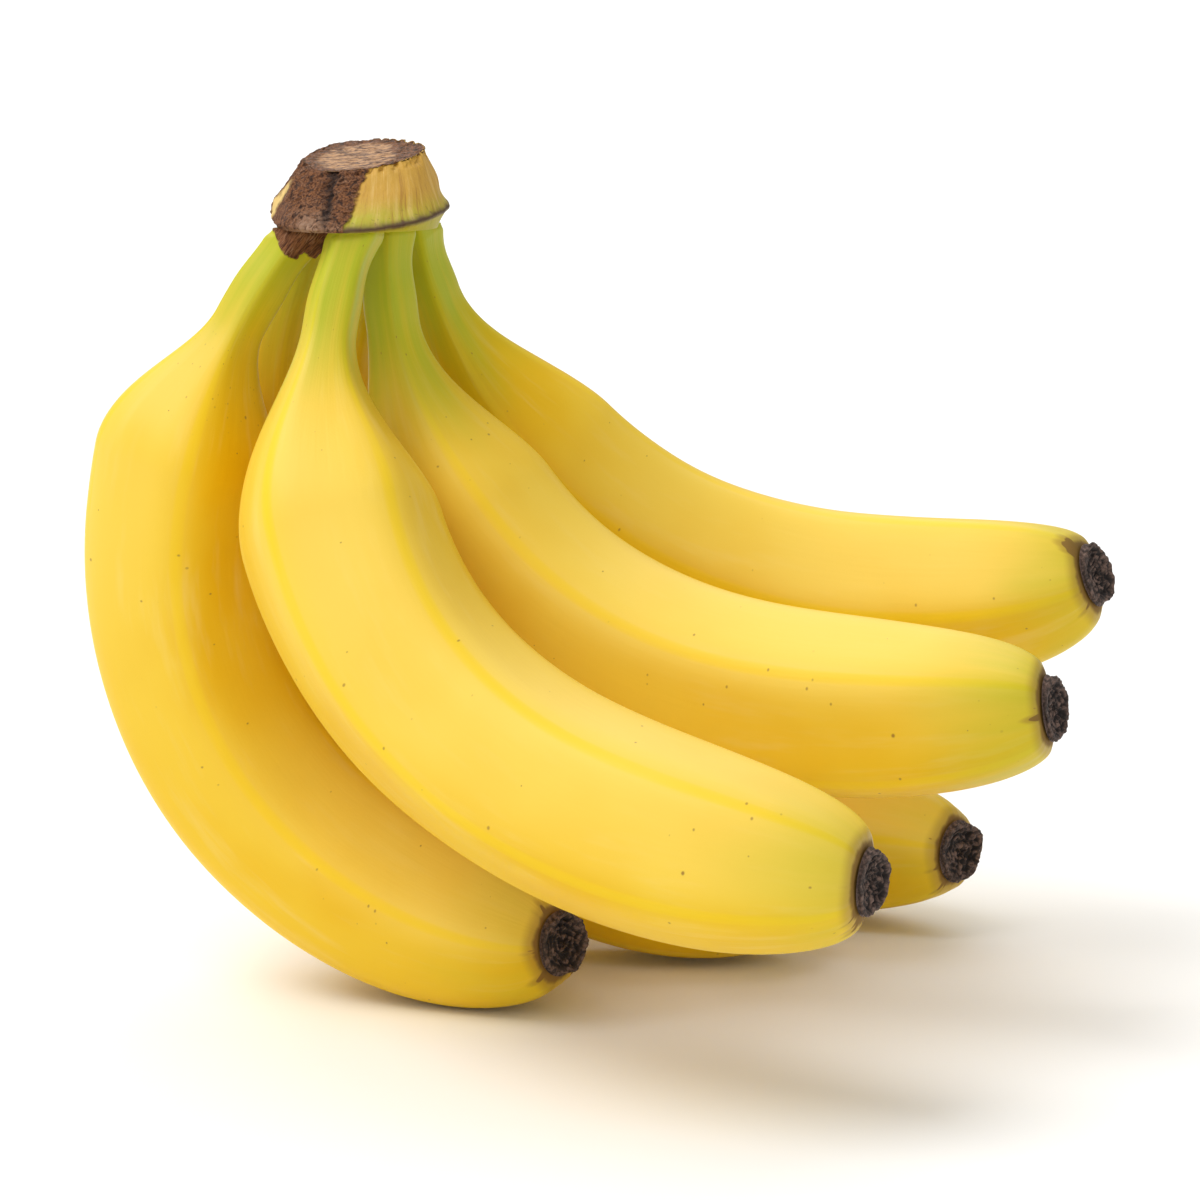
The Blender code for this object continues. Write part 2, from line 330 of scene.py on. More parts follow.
def columnStarts(finger, angles):
    # the length at which each column of the skin meets the underside of the crown
    trial = np.linspace(*skin["startSearch"])
    lengths, turns = np.meshgrid(trial, angles, indexing="ij")
    points, across, radii = fingerSurface(finger, lengths, turns)
    height = (points + radii[..., None] * across - seatPoint) @ seatNormal
    return np.array([np.interp(-skin["sinkIntoCrown"], -column, trial) for column in height.T])


def skinRelief(finger, lengths, fromCrown, straight):
    # what the skin adds to the smooth finger: slow swellings, less at the ends
    toTip = finger["length"] - lengths
    free = smooth(*skin["swellFromRoot"], lengths) * smooth(*skin["swellFromTip"], toTip)
    relief = skin["swelling"] * free * lumps(straight, skin["swellingGrain"], finger["seed"])
    # fuller necks where they run side by side, drawn in under the crown
    sideBySide = smooth(*skin["fullFrom"], lengths) * smooth(*skin["fullTo"], lengths)
    relief = relief + skin["neckFull"] * sideBySide
    relief = relief - skin["drawnIn"] * smooth(*skin["drawnInTo"], fromCrown)
    # puckered round the blossom remnant, and rolled in at the very end
    folds = lumps(straight, skin["puckerGrain"], finger["seed"] + skin["puckerSeed"])
    relief = relief + skin["pucker"] * smooth(*skin["puckerTo"], toTip) * folds
    return relief - skin["rollIn"] * smooth(*skin["rollInTo"], toTip) ** 2


# each grain says how fast it changes along x, y and z, and where its noise starts
tornBark = dict(
    middle=0.6, notch=0.7, notchTurn=1.1, narrowing=0.0035, softEdge=0.12, frontOnly=(2.5, 0.5),
    jag=0.7, jagGrain=((0.7, 0.7, 0.15), 51.0), fray=0.5, frayGrain=((1.9, 1.9, 0.4), 57.0),
    proud=0.45, rough=0.30, roughGrain=((1.1, 1.1, 0.5), 63.0))


def hangBark(finger, rings, across):
    # a torn lobe of the crown's bark, hanging down over the front of the neck
    lobe = tornBark
    under = -(rings - seatPoint) @ seatNormal
    beside = rings[..., 0] - finger["root"][0] - lobe["middle"]
    jags = lobe["jag"] * lumps(rings, *lobe["jagGrain"]) + lobe["fray"] * lumps(rings, *lobe["frayGrain"])
    reach = finger["tornTo"] - lobe["notch"] * np.cos(beside * lobe["notchTurn"]) + jags
    reach = reach - lobe["narrowing"] * beside ** 4
    front = smooth(*lobe["frontOnly"], rings[..., 1] - finger["root"][1])
    torn = smooth(-lobe["softEdge"], lobe["softEdge"], reach - under) * front
    thick = lobe["proud"] + lobe["rough"] * lumps(rings, *lobe["roughGrain"])
    return torn, rings + (torn * thick)[..., None] * across


def makeFinger(name, finger, finish):
    angles = np.linspace(0.0, fullTurn, skin["columns"], endpoint=False)
    starts = columnStarts(finger, angles)
    even = np.linspace(0.0, 1.0, skin["rows"])
    spread = even - skin["crowding"] * np.sin(fullTurn * even)
    lengths = starts + (finger["length"] - starts) * spread[:, None]
    angles = np.broadcast_to(angles, lengths.shape)
    # the finger laid out straight, for what is spread over its skin
    unrolled = skin["unrolled"] * np.stack([np.cos(angles), np.sin(angles)])
    straight = np.stack([lengths, *unrolled], axis=-1)
    points, across, radii = fingerSurface(finger, lengths, angles)
    radii = radii + skinRelief(finger, lengths, lengths - starts, straight)
    rings = points + (radii - skin["inset"])[..., None] * across
    torn = np.zeros(lengths.shape)
    if "tornTo" in finger:
        torn, rings = hangBark(finger, rings, across)
    # which way each facet faces, nearly the same all over it, for the painted highlight on the facets that
    # face the light
    corners = skin["corners"] * angles
    facing = fingerSurface(finger, lengths, angles + skin["flatFacets"] * np.sin(corners))[1]
    toTip = finger["length"] - lengths
    wander = lumps(straight, skin["wanderGrain"], finger["seed"] + skin["wanderSeed"])
    onNeck = smooth(finger["greenTo"], skin["greenFull"], lengths + skin["greenWander"] * wander)
    atTip = smooth(*skin["tipGreenTo"], toTip + skin["tipGreenWander"] * wander)
    onShoulder = smooth(*skin["specksReach"], np.abs(lengths - finger["neck"] - skin["specksAt"]))
    marks = {
        "straight": straight + np.array([finger["seed"] * skin["seedShift"], 0.0, 0.0]),
        "corner": np.cos(corners),
        # painted highlight: paler where a facet faces the light
        "paintedLit": smooth(*skin["paintedLitRange"], facing @ np.array(skin["paintedLitSide"])),
        "neckGreen": finger["green"] * onNeck,
        "tipGreen": finger["tipGreen"] * atTip,
        "toTip": toTip,
        "speckled": finger["speckled"] * onShoulder,
        "torn": torn,
    }
    return skinGrid(name, rings, marks, finish)


# colours, how fine each pattern is (per mm), how deep it is (in m), and its specks
peelLook = dict(
    # the first colour is a painted highlight, the paler yellow put on the facets that face the light
    paintedLit=(0.92, 0.65, 0.11), lemon=(0.88, 0.57, 0.020), gold=(0.85, 0.51, 0.004),
    ridgeLine=(0.92, 0.62, 0.006), neckGreen=(0.44, 0.49, 0.020), tipGreen=(0.54, 0.50, 0.02),
    pale=(0.93, 0.68, 0.20), brown=(0.16, 0.07, 0.025), spot=(0.30, 0.14, 0.03),
    barkDark=(0.070, 0.024, 0.011), barkRed=(0.27, 0.108, 0.042), barkGrey=(0.40, 0.24, 0.155),
    patchScale=0.055, streakScale=0.30, veinScale=0.22, tickScale=0.22, poreScale=2.4, fibreScale=1.1,
    fineSpecks=dict(scale=0.24, size=0.085, kept=0.75, seed=3.0), fineShare=0.65,
    boldSpecks=dict(scale=0.10, size=0.046, kept=0.60, seed=11.0), boldShare=0.85,
    crowdSpecks=dict(scale=0.75, size=0.20, kept=0.45, seed=23.0), crowdShare=0.50,
    shredScale=1.3, broadScale=0.35, shredDepth=0.0006, poreDepth=0.00004, fibreDepth=0.00012,
    smoothest=0.36, shine=0.22)


def peelFinish(name, look, shaggy=False):
    f = Finish(name)
    where = f.attribute("straight", "Vector")
    toTip = f.attribute("toTip")
    # yellow in patches, with pale streaks, sunlit facets and bright lines along the corners
    patches = f.cloud(f.stretched(where, (0.5, 1.0, 1.0)), look["patchScale"])
    colour = f.mix(patches.between(0.37, 0.63), look["gold"], look["lemon"])
    along = f.stretched(where, (0.12, 1.0, 1.0), (7.0, 3.0, 1.0))
    streaks = f.cloud(along, look["streakScale"], detail=3.0, roughness=0.6)
    # yellow in patches, with pale streaks, a painted highlight on the facets that face up and to the left,
    # and bright lines along the corners
    colour = f.mix(streaks.between(0.50, 0.75) * 0.30, colour, look["pale"])
    colour = f.mix(f.attribute("paintedLit") * (0.50 + 0.5 * patches), colour, look["paintedLit"])
    onCorner = f.attribute("corner").between(0.90, 1.0)
    colour = f.mix(onCorner * (0.25 + 0.75 * streaks), colour, look["ridgeLine"])
    # green towards the crown and the tip, in veins along the finger
    veins = f.cloud(f.stretched(where, (0.10, 1.0, 1.0), (1.0, 8.0, 2.0)), look["veinScale"])
    neck = f.attribute("neckGreen") * (0.55 + 0.9 * veins)
    colour = f.mix(neck.least(1.0), colour, look["neckGreen"])
    tip = f.attribute("tipGreen") * (0.4 + 1.2 * veins)
    colour = f.mix(tip.least(1.0), colour, look["tipGreen"])
    # specks: faint small ones everywhere and rarer darker ones
    colour = f.mix(f.specks(where, **look["fineSpecks"]) * look["fineShare"], colour, look["spot"])
    colour = f.mix(f.specks(where, **look["boldSpecks"]) * look["boldShare"], colour, look["spot"])
    # brown where the skin dries round the remnant, with short ticks that run back from it
    ticks = f.cloud(f.stretched(where, (0.05, 1.0, 1.0), (2.0, 5.0, 9.0)), look["tickScale"], detail=1.0)
    dried = (toTip - ticks.between(0.62, 0.74) * 1.8 - veins * 0.5).between(0.35, 0.0)
    stain = (toTip - ticks.between(0.60, 0.74) * 2.2).between(2.4, 0.3)
    colour = f.mix(stain * 0.5, colour, look["spot"])
    colour = f.mix(dried * 0.75, colour, look["brown"])
    pores = f.cloud(where, look["poreScale"], detail=1.0)
    fibres = f.cloud(f.stretched(where, (0.06, 1.0, 1.0)), look["fibreScale"], detail=1.0)
    normal = f.bump(pores, look["poreDepth"], 0.35)
    normal = f.bump(fibres, look["fibreDepth"], 0.35, normal)
    roughness = look["smoothest"] + 0.12 * streaks + 0.3 * dried
    if shaggy:
        # a crowd of specks on the shoulder, and torn bark over the top of the neck
        crowd = f.specks(where, **look["crowdSpecks"]) * f.attribute("speckled")
        colour = f.mix(crowd * look["crowdShare"], colour, look["spot"])
        torn = f.attribute("torn")
        shreds = f.cloud(f.stretched(where, (0.4, 1.0, 1.0)), look["shredScale"], detail=4.0, roughness=0.65)
        broad = f.cloud(where, look["broadScale"], detail=1.0)
        hanging = f.mix(shreds.between(0.36, 0.60), look["barkDark"], look["barkRed"])
        hanging = f.mix(shreds.between(0.50, 0.70) * broad.between(0.42, 0.60), hanging, look["barkGrey"])
        colour = f.mix(torn, colour, hanging)
        normal = f.bump(shreds * torn, look["shredDepth"], 0.8, normal)
        roughness = roughness + 0.4 * torn
    return f.shader(colour, roughness, look["shine"], normal)


plainPeel = peelFinish("peel", peelLook)
shaggyPeel = peelFinish("peelTorn", peelLook, shaggy=True)
for name, finger in fingers.items():
    piece = makeFinger(name + "_skin", finger, shaggyPeel if "tornTo" in finger else plainPeel)
    standFor(piece, name)
print("fingers made")


remnant = dict(
    columns=160, rows=96, length=2.8, foot=6.6, rim=6.1, gap=0.25, slant=0.75, overTop=0.35,
    fiveSided=0.035, threeSided=0.03, shellFrom=(0.2, 1.4), calmMiddle=(0.3, 2.2),
    folds=0.34, foldGrain=(0.55, 0.55, 0.16),
    crinkle=0.16, crinkleGrain=(1.5, 1.5, 0.5), crinkleSeed=5.0,
    dipGrain=(0.45, 0.45, 0.45), dipSeed=11.0, topDip=0.45, topCrinkle=0.22, topFrom=(2.2, 0.3),
    ringStep=1.5, ringFolds=1.1, ringDips=0.5,
    spokesRound=4.2, spokesAlong=0.30, spokesGrain=(1.0, 1.0, 1.0), spokesSeed=17.0,
    curls=0.5, spokes=1.1, faceCrinkle=0.6, faceRelief=0.75, shellRelief=0.35)


def remnantProfile():
    # height, radius and how far into the hollow face it is, from the foot to the middle
    tall, foot, rim = remnant["length"], remnant["foot"], remnant["rim"]
    return [(0.0, foot - 0.3, 0.0), (0.35, foot, 0.0), (0.9, foot - 0.40, 0.0), (1.6, rim - 0.10, 0.0),
            (tall - 0.6, rim + 0.15, 0.0), (tall - 0.1, rim, 0.0), (tall, rim - 0.45, 0.1),
            (tall - 0.35, rim - 1.0, 0.5), (tall - 1.0, rim - 1.6, 1.0), (tall - 1.1, rim - 2.4, 1.0),
            (tall - 1.3, rim - 3.4, 1.0), (tall - 1.4, 1.8, 1.0), (tall - 1.5, 0.9, 1.0),
            (tall - 1.5, 0.15, 1.0)]


def makeRemnant(name, finger, finish):
    r, tall, seed = remnant, remnant["length"], finger["seed"]
    line = naturalCurve(remnantProfile(), np.linspace(0.0, 1.0, r["rows"]))
    turn = np.linspace(0.0, fullTurn, r["columns"], endpoint=False)
    height, radius, hollow, turn = np.broadcast_arrays(line[:, :1], line[:, 1:2], line[:, 2:], turn)
    flat = np.stack([radius * np.cos(turn), radius * np.sin(turn), height], axis=-1)
    folds = lumps(flat, r["foldGrain"], seed)
    crinkle = lumps(flat, r["crinkleGrain"], seed + r["crinkleSeed"])
    dip = lumps(flat, r["dipGrain"], seed + r["dipSeed"])
    # an uneven outline, with folds in the dry shell
    shell = smooth(*r["shellFrom"], height)
    sides = r["fiveSided"] * np.cos(5.0 * turn + seed) + r["threeSided"] * np.cos(3.0 * turn + 2.0 * seed)
    radius = radius * (1.0 + sides * shell)
    dents = (r["folds"] * folds + r["crinkle"] * crinkle) * shell
    radius = radius + dents * smooth(*r["calmMiddle"], radius)
    # the face: curled rings one inside the other, broken by wrinkles that run to the middle
    spokes = np.stack([np.cos(turn) * r["spokesRound"], np.sin(turn) * r["spokesRound"],
                       radius * r["spokesAlong"]], axis=-1)
    wrinkles = lumps(spokes, r["spokesGrain"], seed + r["spokesSeed"])
    curls = np.cos(fullTurn * (radius + r["ringFolds"] * folds + r["ringDips"] * dip) / r["ringStep"])
    raised = r["curls"] * curls + r["spokes"] * wrinkles + r["faceCrinkle"] * crinkle
    top = smooth(tall - r["topFrom"][0], tall - r["topFrom"][1], height)
    height = height + top * (r["topDip"] * dip + r["topCrinkle"] * crinkle)
    height = height + hollow * r["faceRelief"] * raised
    # shorter on the side that faces the front
    slant = 1.0 - r["slant"] * np.clip(0.5 + radius * np.cos(turn) / (2.0 * r["foot"]), 0.0, 1.0)
    height = np.clip(height, 0.0, tall + r["overTop"]) * slant
    points, tangents = spine(finger, np.array([float(finger["length"])]))
    front, inside = acrossSpine(tangents)
    centre = points + tangents * (r["gap"] + height)[..., None]
    outward = np.cos(turn)[..., None] * front + np.sin(turn)[..., None] * inside
    surface = centre + radius[..., None] * outward
    marks = {"hollow": hollow, "flat": flat, "raised": raised * np.maximum(hollow, r["shellRelief"])}
    return skinGrid(name, surface, marks, finish)


remnantLook = dict(
    black=(0.008, 0.005, 0.004), dark=(0.034, 0.020, 0.015), grey=(0.19, 0.118, 0.090),
    tan=(0.21, 0.125, 0.085), wrinkleScale=0.9, grainScale=3.0,
    wrinkleDepth=0.0006, grainDepth=0.0002, smoothest=0.62, shine=0.4)


def remnantFinish(look):
    f = Finish("driedBlossom")
    where = f.attribute("flat", "Vector")
    drawnOut = f.stretched(where, (1.0, 1.0, 0.35))
    wrinkles = f.cloud(drawnOut, look["wrinkleScale"], detail=5.0, roughness=0.65)
    grain = f.cloud(where, look["grainScale"], detail=3.0)
    colour = f.mix(wrinkles.between(0.40, 0.66), look["dark"], look["grey"])
    colour = f.mix(grain.between(0.55, 0.80) * 0.4, colour, look["tan"])
    # painted shade: nearly black in the sunk parts between the rings of the face
    sunkShade = (f.attribute("raised") + 0.6 * wrinkles).between(0.85, 0.10)
    colour = f.mix(f.attribute("hollow").between(0.1, 0.7) * sunkShade * 0.92, colour, look["black"])
    normal = f.bump(wrinkles, look["wrinkleDepth"], 0.7)
    normal = f.bump(grain, look["grainDepth"], 0.5, normal)
    return f.shader(colour, look["smoothest"] + 0.25 * grain, look["shine"], normal)


driedBlossom = remnantFinish(remnantLook)
for number, finger in enumerate(fingers.values(), start=1):
    piece = makeRemnant(f"blossom_{number}_dried", finger, driedBlossom)
    standFor(piece, f"blossom_end_{number}")
print("blossom remnants made")


crown = dict(
    columns=400, sideRows=120, capRows=46, underRows=8, fineRows=400, capTo=0.97,
    # each ring: middle x and y, half width, half depth, height
    rings=((-49.0, 28.0, 15.5, 21.5, 147.5), (-49.0, 28.0, 17.0, 23.0, 154.5),
           (-49.0, 28.0, 18.0, 24.0, 157.5), (-48.5, 28.0, 16.5, 20.5, 160.0),
           (-48.0, 29.0, 15.0, 17.0, 163.0), (-47.5, 30.0, 13.0, 13.0, 166.5),
           (-47.0, 30.5, 11.0, 9.0, 170.0)),
    slope=0.05, waves=((3, 0.02, 0.0, 0.6), (7, 0.012, 1.0, 0.0)),  # count, rise, twist, start
    topPoint=(-47, 30.5, 168), topFacing=(-0.09, -0.12, 1.0), topSettle=0.08, topFrom=(0.9, 1.0),
    sidePoint=(-65, 23, 158), sideFacing=(-1.0, -0.25, 0.55), sideClear=0.15,
    inset=0.55, around=18.0, calmEnds=((0.0, 0.10), (1.0, 0.97)), calmShare=0.35,
    # how fast each unevenness changes along x, y and z, and where its noise starts
    grains=dict(ragged=((0.35, 0.35, 0.5), 2.0), frayed=((1.1, 1.1, 1.4), 6.0),
                strings=((0.75, 0.75, 0.20), 12.0), crumbs=((1.6, 1.6, 1.2), 19.0),
                broad=((0.22, 0.22, 0.16), 25.0), ripple=((0.45, 0.45, 0.05), 33.0),
                pith=((0.30, 1.3, 0.5), 41.0), pores=((1.2, 1.8, 1.2), 47.0),
                nicks=((0.75, 0.75, 0.25), 53.0)),
    bark=dict(edge=-50.6, edgeSlope=0.48, edgeHeight=157.5, edgeWander=0.9, frayed=0.5, soft=0.35,
              frontOnly=(28.0, 20.0), proud=0.45, broad=0.7, level=0.6,
              strings=0.42, stringContrast=2.2, crumbs=0.22),
    # the fold is carved into the bark and painted nearly black along it, painted shade in the crease
    fold=dict(at=-54.6, slope=0.10, height=160.0, wander=0.9, width=1.1, up=(155.0, 159.0), deep=1.3),
    # the knob stands out from the bark and is painted grey, a painted highlight on the swelling
    knob=dict(at=(-57.6, 156.0), size=(3.2, 2.6), proud=0.7),
    cream=dict(cut=(-0.5, 0.2), cutWander=0.5, behind=(22.0, 24.0), behindWander=1.5),
    # a thin lip runs round the bottom of the smooth skirt
    lip=dict(height=155.8, frontY=5.0, slopeY=0.03, middleX=-49.0, slopeX=0.05,
             above=0.40, width=0.60, proud=0.30, undercut=0.35, undercutTo=(0.0, -0.9),
             markAbove=0.35, markWander=0.25, markWidth=0.75, ripple=0.14),
    # the top cut: fibres of pith, a torn edge that stands up, nicks in it and scorched bark over it
    cut=dict(pith=0.28, pores=0.18, dish=0.35, dishTo=(0.0, 0.35), lower=0.34,
             edge=0.30, edgeTo=(0.30, 0.0), edgeLevel=0.3,
             nickSide=(0.86, 1.0), nickTop=(0.22, 0.0), nickCrumbs=0.3, nickIn=1.5, nickDown=0.7,
             scorchRim=0.75, scorchTo=(0.50, 0.05),
             scorchRight=0.8, scorchFrom=(2.0, 8.0), scorchWander=2.0))
topPoint, topNormal = np.array(crown["topPoint"]), unit(crown["topFacing"])
sidePoint, sideNormal = np.array(crown["sidePoint"]), unit(crown["sideFacing"])


def crownRings(angles):
    rings = []
    for x, y, halfWidth, halfDepth, height in crown["rings"]:
        wave = 1.0 + sum(rise * np.cos(count * angles + twist * height + start)
                         for count, rise, twist, start in crown["waves"])
        px = x + halfWidth * wave * np.cos(angles)
        py = y + halfDepth * wave * np.sin(angles)
        rings.append(np.stack([px, py, height + crown["slope"] * (py - y)], axis=-1))
    return np.array(rings)


def crownSide(angles, share):
    # the side of the crown, from the seat of the necks up to the top cut
    fine = np.linspace(0.0, 1.0, crown["fineRows"])
    surface = naturalCurve(crownRings(angles), fine)
    aboveSeat = (surface - seatPoint) @ seatNormal
    aboveTop = (surface - topPoint) @ topNormal
    side = []
    for k in range(len(angles)):
        start, stop = np.interp(0.0, aboveSeat[:, k], fine), np.interp(0.0, aboveTop[:, k], fine)
        at = start + (stop - start) * share
        side.append(np.stack([np.interp(at, fine, surface[:, k, axis]) for axis in range(3)], axis=-1))
    return np.stack(side, axis=1)


def shrunk(ring, shares):
    # copies of a ring, each drawn in towards its middle by one share
    shares = shares[:, None, None]
    return ring * (1.0 - shares) + ring.mean(0) * shares


def crownGrid(angles):
    # the plain crown: underside, side and top cut, and what each of its rows is
    underRows, sideRows, capRows = crown["underRows"], crown["sideRows"], crown["capRows"]
    share = np.linspace(0.0, 1.0, sideRows)
    side = crownSide(angles, share)
    inward = np.linspace(0.0, crown["capTo"], capRows + 1)[1:]
    inwardUnder = np.linspace(crown["capTo"], 0.0, underRows + 1)[:-1]
    body = np.concatenate([shrunk(side[0], inwardUnder), side, shrunk(side[-1], inward)])
    # the side or not, how far up the side, and how far in on the top cut
    isSide = np.concatenate([np.zeros(underRows), np.ones(sideRows), np.zeros(capRows)])
    upShare = np.concatenate([np.zeros(underRows), share, np.ones(capRows)])
    onCap = np.concatenate([np.zeros(underRows + sideRows), inward])
    spread = (np.broadcast_to(row[:, None], body.shape[:2]) for row in (isSide, upShare, onCap))
    return body, *spread


def makeCrown(finish):
    grains, bark, fold, knob, cream = (crown[key] for key in ("grains", "bark", "fold", "knob", "cream"))
    lip, cut = crown["lip"], crown["cut"]
    angles = np.linspace(0.0, fullTurn, crown["columns"], endpoint=False)
    body, isSide, upShare, onCap = crownGrid(angles)
    isCap = (onCap > 0) * 1.0
    outward = np.stack([np.cos(angles), np.sin(angles), np.zeros(len(angles))], axis=-1)
    outward = np.broadcast_to(outward, body.shape)
    # what covers the side: bark with a fold and a knob, and a pale cut at the left
    x, y, z = body[..., 0], body[..., 1], body[..., 2]
    ragged = lumps(body, *grains["ragged"]) + bark["frayed"] * lumps(body, *grains["frayed"])
    edge = bark["edge"] + bark["edgeSlope"] * (z - bark["edgeHeight"]) + bark["edgeWander"] * ragged
    onBark = smooth(bark["soft"], -bark["soft"], x - edge) * isSide
    cutDepth = (body - sidePoint) @ sideNormal + cream["cutWander"] * ragged
    onCream = smooth(*cream["cut"], cutDepth) * smooth(*cream["behind"], y + cream["behindWander"] * ragged)
    onCream = onCream * isSide
    front = smooth(*bark["frontOnly"], y) * isSide
    fromFold = x - fold["at"] - fold["slope"] * (z - fold["height"]) + fold["wander"] * ragged
    inFold = bell(fromFold, fold["width"]) * smooth(*fold["up"], z) * front
    onKnob = bell(x - knob["at"][0], knob["size"][0]) * bell(z - knob["at"][1], knob["size"][1]) * front
    # torn, stringy bark
    strings = 1.0 - np.abs(lumps(body, *grains["strings"])) * bark["stringContrast"]
    crumbs = lumps(body, *grains["crumbs"])
    relief = bark["proud"] * (bark["level"] + bark["broad"] * lumps(body, *grains["broad"]))
    relief = relief + bark["strings"] * strings + bark["crumbs"] * crumbs
    relief = relief - fold["deep"] * inFold + knob["proud"] * onKnob
    # smooth skirt with a lip at its foot
    fromLip = z - lip["height"] - lip["slopeY"] * (y - lip["frontY"]) - lip["slopeX"] * (x - lip["middleX"])
    skirt = (1.0 - onBark) * isSide
    onLip = bell(fromLip - lip["above"], lip["width"]) * skirt
    undercut = smooth(*lip["undercutTo"], fromLip) * skirt
    ripple = lumps(crown["around"] * outward, *grains["ripple"])
    low, high = crown["calmEnds"]
    keep = smooth(*low, upShare) * smooth(*high, upShare)
    push = skirt * (lip["proud"] * onLip - lip["undercut"] * undercut + lip["ripple"] * ripple * keep)
    push = push + onBark * relief * (crown["calmShare"] + (1.0 - crown["calmShare"]) * keep)
    body = body + outward * (push - crown["inset"] * isSide)[..., None]
    body = body - topNormal * (crown["topSettle"] * smooth(*crown["topFrom"], upShare) * isSide)[..., None]
    over = np.clip((body - sidePoint) @ sideNormal + crown["sideClear"], 0.0, None)
    body = body - over[..., None] * sideNormal
    # top cut
    lift = cut["pith"] * lumps(body, *grains["pith"]) + cut["pores"] * lumps(body, *grains["pores"])
    lift = lift - cut["dish"] * smooth(*cut["dishTo"], onCap) - cut["lower"]
    lift = lift + cut["edge"] * smooth(*cut["edgeTo"], onCap) * (cut["edgeLevel"] + np.abs(ragged))
    nearRim = smooth(*cut["nickSide"], upShare) * isSide + smooth(*cut["nickTop"], onCap) * isCap
    nick = np.clip(lumps(body, *grains["nicks"]) + cut["nickCrumbs"] * crumbs, 0.0, None) * nearRim
    body = body - nick[..., None] * (cut["nickIn"] * outward + cut["nickDown"] * topNormal)
    toRight = body[..., 0] - topPoint[0] + cut["scorchWander"] * ragged
    scorch = cut["scorchRim"] * smooth(*cut["scorchTo"], onCap)
    scorch = scorch + cut["scorchRight"] * smooth(*cut["scorchFrom"], toRight)
    body = body + topNormal * (lift * isCap)[..., None]
    marks = {
        "spot": body, "bark": onBark, "cream": onCream, "cap": onCap, "up": upShare, "below": undercut,
        "rim": bell(fromLip - lip["markAbove"] + lip["markWander"] * ragged, lip["markWidth"]) * isSide,
        "fold": inFold * onBark, "knob": onKnob * onBark, "scorch": scorch,
        "around": crown["around"] * outward + np.array([0.0, 0.0, 1.0]) * z[..., None],
    }
    return skinGrid("crown_stalk", body, marks, finish)


crownLook = dict(
    barkDark=(0.060, 0.021, 0.010), barkRed=(0.27, 0.108, 0.040), barkGrey=(0.38, 0.235, 0.15),
    ochre=(0.60, 0.34, 0.050), tawny=(0.36, 0.165, 0.030), leaf=(0.46, 0.42, 0.030),
    cream=(0.80, 0.56, 0.20), rim=(0.075, 0.032, 0.020), pith=(0.60, 0.34, 0.17),
    pithDark=(0.13, 0.070, 0.045), black=(0.012, 0.007, 0.006),
    streakScale=0.9, mottleScale=0.35, grainScale=2.2, threadScale=0.9, strandScale=1.3,
    grainDepth=0.0004, streakDepth=0.0005, smoothest=0.55, barkRougher=0.3, shine=0.3)


def crownFinish(look):
    f = Finish("crownStalk")
    where = f.attribute("spot", "Vector")
    bark, up = f.attribute("bark"), f.attribute("up")
    onCut = f.attribute("cap").between(0.0, 0.02)
    streak = f.cloud(f.stretched(where, (1.0, 1.0, 0.16)), look["streakScale"], detail=5.0, roughness=0.6)
    mottle = f.cloud(where, look["mottleScale"], detail=4.0)
    grain = f.cloud(where, look["grainScale"], detail=4.0, roughness=0.65)
    # bark
    coarse = grain.between(0.35, 0.65)
    woody = f.mix(coarse, look["barkDark"], look["barkRed"])
    woody = f.mix(mottle.between(0.55, 0.75) * coarse * 0.7, woody, look["barkGrey"])
    woody = f.mix(streak.between(0.50, 0.36) * 0.8, woody, look["black"])
    # painted highlight: the knob is painted grey
    woody = f.mix(f.attribute("knob") * streak.between(0.35, 0.60), woody, look["barkGrey"])
    # painted shade: the fold is painted nearly black
    woody = f.mix(f.attribute("fold") * 0.85, woody, look["black"])
    # smooth skirt: ochre above, leaf green below, with fine streaks up and down it
    around = f.stretched(f.attribute("around", "Vector"), (1.0, 1.0, 0.10))
    threads = f.cloud(around, look["threadScale"], detail=4.0, roughness=0.6)
    skirt = f.mix((up.between(0.66, 0.16) * (0.35 + 1.3 * mottle)).least(1.0), look["ochre"], look["leaf"])
    skirt = f.mix(threads.between(0.50, 0.66) * 0.40, skirt, look["cream"])
    skirt = f.mix(threads.between(0.46, 0.32) * 0.60, skirt, look["tawny"])
    skirt = f.mix(streak.between(0.42, 0.30) * up.between(0.6, 0.05) * 0.8, skirt, look["rim"])
    skirt = f.mix(f.attribute("rim") * 0.95, skirt, look["rim"])
    skirt = f.mix(f.attribute("below") * 0.85, skirt, look["leaf"])
    colour = f.mix(bark, skirt, woody)
    colour = f.mix(f.attribute("cream"), colour, look["cream"])
    # top cut
    strands = f.cloud(f.stretched(where, (0.25, 1.4, 1.0)), look["strandScale"], detail=4.0, roughness=0.6)
    cut = f.mix(strands.between(0.36, 0.62), look["pithDark"], look["pith"])
    cut = f.mix(mottle.between(0.60, 0.75) * 0.6, cut, look["barkDark"])
    scorched = (f.attribute("scorch") + 0.5 * grain - 0.25).between(0.35, 0.65)
    cut = f.mix(scorched * 0.92, cut, woody)
    colour = f.mix(onCut, colour, cut)
    normal = f.bump(grain * (bark + onCut + 0.05).least(1.0), look["grainDepth"], 0.8)
    normal = f.bump(streak, look["streakDepth"], 0.4, normal)
    return f.shader(colour, look["smoothest"] + look["barkRougher"] * bark, look["shine"], normal)


standFor(makeCrown(crownFinish(crownLook)), "crown")
print("crown made")


ground = dict(size=12.0, colour=(0.94, 0.94, 0.93), rough=0.9)  # size in m


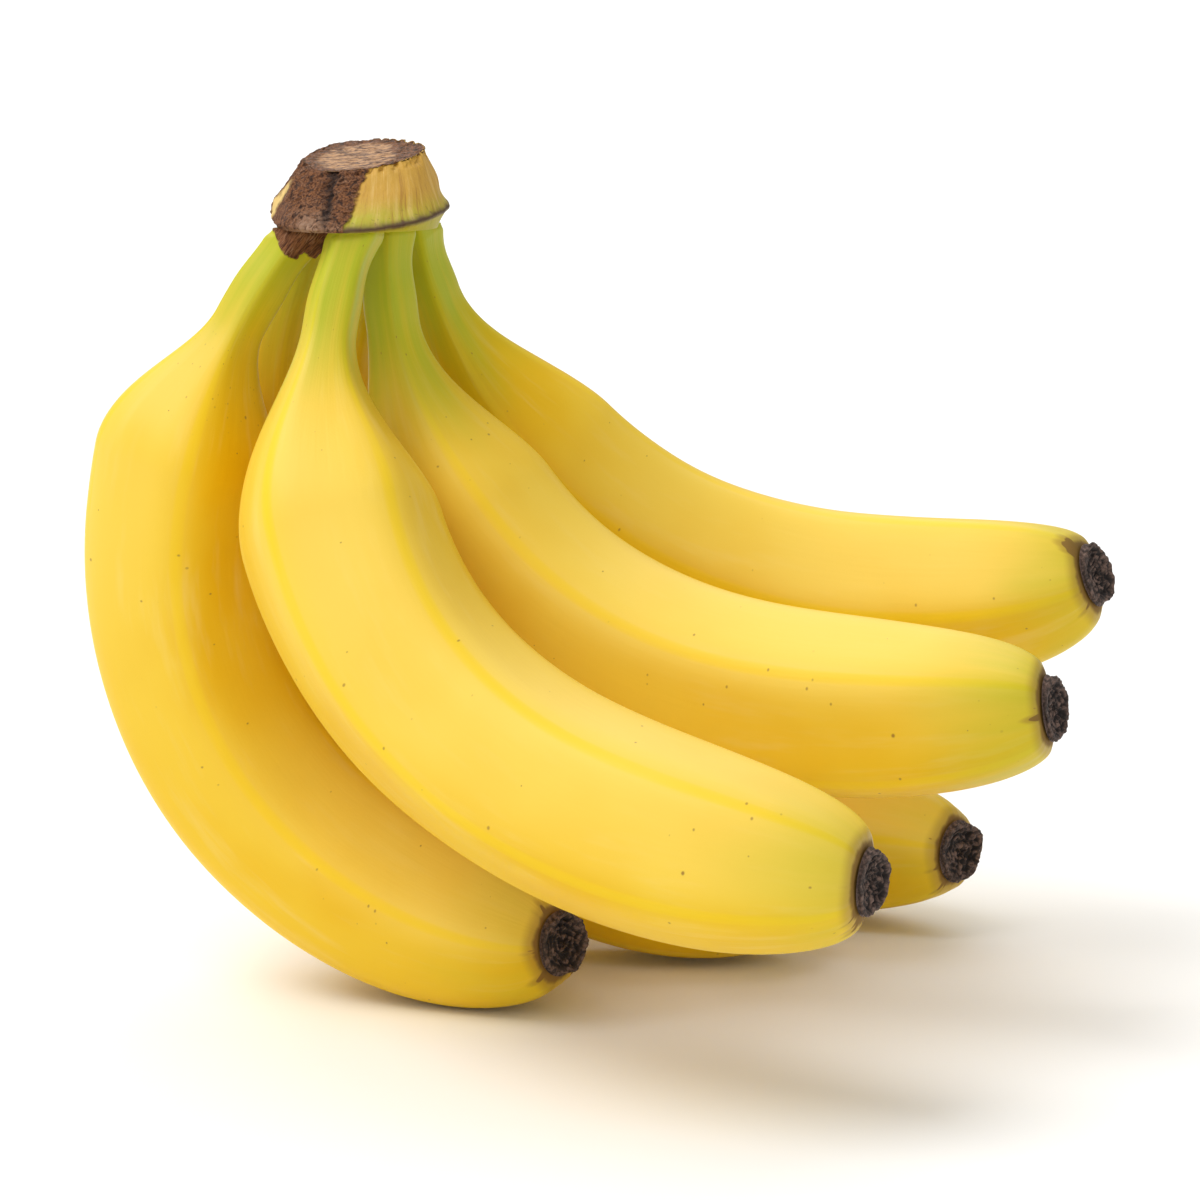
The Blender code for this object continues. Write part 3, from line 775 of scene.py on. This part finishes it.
def makeFloor():
    half = ground["size"] / 2.0
    corners = [(-half, -half, 0), (half, -half, 0), (half, half, 0), (-half, half, 0)]
    mesh = bpy.data.meshes.new("floor")
    mesh.from_pydata(corners, [], [(0, 1, 2, 3)])
    mesh.materials.append(Finish("floorWhite").shader((*ground["colour"], 1.0), ground["rough"], 0.0))
    floor = bpy.data.objects.new("floor", mesh)
    bpy.context.scene.collection.objects.link(floor)


# wide soft suns, each shining from its place (in m) towards the middle of the bunch
lights = {
    "keyLeft": dict(at=(-0.58, -0.08, 1.00), spread=40.0, power=1.75),
    "backTop": dict(at=(-0.12, 0.75, 1.00), spread=60.0, power=1.15),
    "frontFill": dict(at=(-0.25, -0.80, 0.80), spread=60.0, power=0.72),
}
room = dict(middle=(0.0, 0.0, 0.07), colour=(1.0, 1.0, 1.0), strength=0.36)


def makeLights():
    for name, light in lights.items():
        lamp = bpy.data.lights.new(name, "SUN")
        lamp.angle = math.radians(light["spread"])
        lamp.energy = light["power"]
        item = bpy.data.objects.new(name, lamp)
        item.location = light["at"]
        towards = Vector(room["middle"]) - Vector(light["at"])
        item.rotation_euler = towards.to_track_quat("-Z", "Y").to_euler()
        bpy.context.scene.collection.objects.link(item)
    world = bpy.data.worlds.new("studio")
    world.use_nodes = True
    background = world.node_tree.nodes["Background"]
    background.inputs["Color"].default_value = (*room["colour"], 1.0)
    background.inputs["Strength"].default_value = room["strength"]
    bpy.context.scene.world = world


# lookDown in degrees, clip in m
lens = dict(aim=(-1.43, 5.80, 81.68), distance=1100.0, lookDown=13.0, focal=165.0, sensor=36.0,
            clip=(0.05, 30.0))


def makeCamera():
    camera = bpy.data.cameras.new("camera")
    camera.lens = lens["focal"]
    camera.sensor_width = lens["sensor"]
    camera.clip_start, camera.clip_end = lens["clip"]
    item = bpy.data.objects.new("camera", camera)
    down = math.radians(lens["lookDown"])
    back = Vector((0.0, -math.cos(down), math.sin(down))) * lens["distance"]
    item.location = (Vector(lens["aim"]) + back) * mm
    item.rotation_euler = (math.radians(90.0) - down, 0.0, 0.0)
    bpy.context.scene.collection.objects.link(item)
    bpy.context.scene.camera = item


makeFloor()
makeLights()
makeCamera()
bpy.context.scene.view_settings.view_transform = "Standard"
print("floor, lights and camera made")
